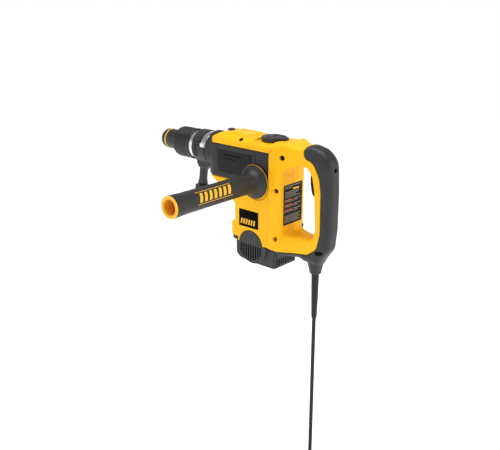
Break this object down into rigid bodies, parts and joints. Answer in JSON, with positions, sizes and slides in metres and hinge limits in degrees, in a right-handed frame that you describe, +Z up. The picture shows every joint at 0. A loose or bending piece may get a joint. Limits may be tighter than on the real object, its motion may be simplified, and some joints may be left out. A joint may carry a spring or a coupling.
{
  "type": "demolition hammer",
  "caption": "Electric demolition hammer with an upright motor, D-shaped rear grip, screw-in side handle, front clamp, splined shank holder and mains cord.",
  "frame": {"origin": "centre of the rear D-grip, on the mid-plane of the tool", "axes": "-X towards the nose along the working axis, +Z up away from the motor cap, so the side handle points to -Y"},
  "size_m": [0.4719, 0.3035, 0.7133],
  "materials": {
    "black_rubber": "matt, fine grain",
    "dark_plastic": "fine spark grain",
    "black_plastic": "satin",
    "yellow_plastic": "satin moulded",
    "gold_ring": "satin",
    "bright_steel": "turned and polished",
    "steel": "ground",
    "grey_paint": "textured powder coat",
    "copper": "turned",
    "carbon": "sintered",
    "plate_black": "printed foil",
    "cord_rubber": "satin"
  },
  "bodies": {
    "housing": {"front_collar": "bright_steel", "gear_case": "grey_paint", "top_cover": "yellow_plastic", "top_plug": "dark_plastic", "cover_screws": "black_plastic", "motor_housing": "yellow_plastic", "nameplates": "plate_black", "motor_cap": "dark_plastic", "cap_screws": "steel", "handle_left": "yellow_plastic", "handle_right": "yellow_plastic", "handle_screws": "black_plastic", "grip_overmould": "black_rubber", "rating_plate": "plate_black", "switch_body": "black_plastic", "crank_bearing": "steel", "stator": "steel", "brush_holders": "black_plastic", "carbon_brushes": "carbon", "upper_bearing": "steel", "lower_bearing": "steel", "cord_boot": "cord_rubber", "cord_tube": "cord_rubber", "cord_coil": "cord_rubber", "cord_tie": "black_plastic", "plug_body": "cord_rubber", "plug_pins": "bright_steel"},
    "spindle": {"tool_holder": "steel", "guide_cylinder": "steel", "nose_cap": "black_rubber", "cap_ring": "gold_ring", "locking_rollers": "steel", "sleeve_spring": "steel"},
    "sleeve": {"sleeve_core": "grey_paint", "locking_sleeve": "black_rubber"},
    "clamp": {"clamp_bracket": "dark_plastic", "clamp_band": "bright_steel", "clamp_bolt": "steel"},
    "wheel": {"clamp_wheel": "dark_plastic"},
    "selector": {"mode_selector": "dark_plastic"},
    "trigger_body": {"trigger": "black_plastic"},
    "washer": {"side_washer": "steel"},
    "side_handle": {"side_grip": "black_rubber", "side_core": "yellow_plastic", "side_stud": "steel"},
    "beat_piece_body": {"beat_piece": "steel"},
    "striker_body": {"striker": "steel"},
    "piston_body": {"piston": "steel", "wrist_pin": "steel"},
    "rod": {"connecting_rod": "steel"},
    "crank": {"crankshaft": "steel", "crank_gear": "steel"},
    "rotor": {"armature": "steel", "commutator": "copper", "motor_fan": "black_plastic", "pinion": "steel"}
  },
  "joints": [
    {"name": "spindle_turn", "type": "hinge", "parent": "housing", "child": "spindle", "pos_m": [-0.3415, 0, 0.062], "axis": [1, 0, 0], "continuous": true},
    {"name": "sleeve_slide", "type": "slide", "parent": "spindle", "child": "sleeve", "axis": [1, 0, 0], "range_m": [0, 0.01], "stiffness_N_per_m": 600, "springref_m": -0.02},
    {"name": "clamp_swing", "type": "hinge", "parent": "housing", "child": "clamp", "pos_m": [-0.3075, 0, 0.062], "axis": [1, 0, 0], "continuous": true},
    {"name": "clamp_wheel_turn", "type": "hinge", "parent": "clamp", "child": "wheel", "pos_m": [-0.3138, -0.01225, -0.02514], "axis": [0, -0.1392, -0.9903], "continuous": true},
    {"name": "mode_select", "type": "hinge", "parent": "housing", "child": "selector", "pos_m": [-0.1315, 0, 0.108], "axis": [0, 0, 1], "range_deg": [0, 180]},
    {"name": "trigger_press", "type": "slide", "parent": "housing", "child": "trigger_body", "axis": [1, 0, 0], "range_m": [0, 0.006], "stiffness_N_per_m": 900, "springref_m": -0.004},
    {"name": "side_handle_turn", "type": "hinge", "parent": "washer", "child": "side_handle", "pos_m": [-0.1415, -0.06, 0.0245], "axis": [0, -1, 0], "range_deg": [0, 1800]},
    {"name": "side_handle_unscrew", "type": "slide", "parent": "housing", "child": "washer", "axis": [0, -1, 0], "range_m": [0, 0.0105]},
    {"name": "beat_piece_slide", "type": "slide", "parent": "housing", "child": "beat_piece_body", "axis": [-1, 0, 0], "range_m": [0, 0.006]},
    {"name": "striker_slide", "type": "slide", "parent": "housing", "child": "striker_body", "axis": [-1, 0, 0], "range_m": [0, 0.006]},
    {"name": "piston_slide", "type": "slide", "parent": "housing", "child": "piston_body", "axis": [-1, 0, 0], "range_m": [0, 0.024]},
    {"name": "rod_swing", "type": "hinge", "parent": "piston_body", "child": "rod", "pos_m": [-0.2335, 0, 0.062], "axis": [0, 0, 1], "range_deg": [-11, 11]},
    {"name": "crank_spin", "type": "hinge", "parent": "housing", "child": "crank", "pos_m": [-0.1835, 0, 0.042], "axis": [0, 0, 1], "continuous": true},
    {"name": "rotor_spin", "type": "hinge", "parent": "housing", "child": "rotor", "pos_m": [-0.1475, 0, -0.038], "axis": [0, 0, 1], "continuous": true}
  ],
  "couplings": [
    {"joint": "crank_spin", "follows": "rotor_spin", "ratio": -0.25},
    {"joint": "side_handle_unscrew", "follows": "side_handle_turn", "m_per_rad": 0.00031831}
  ]
}
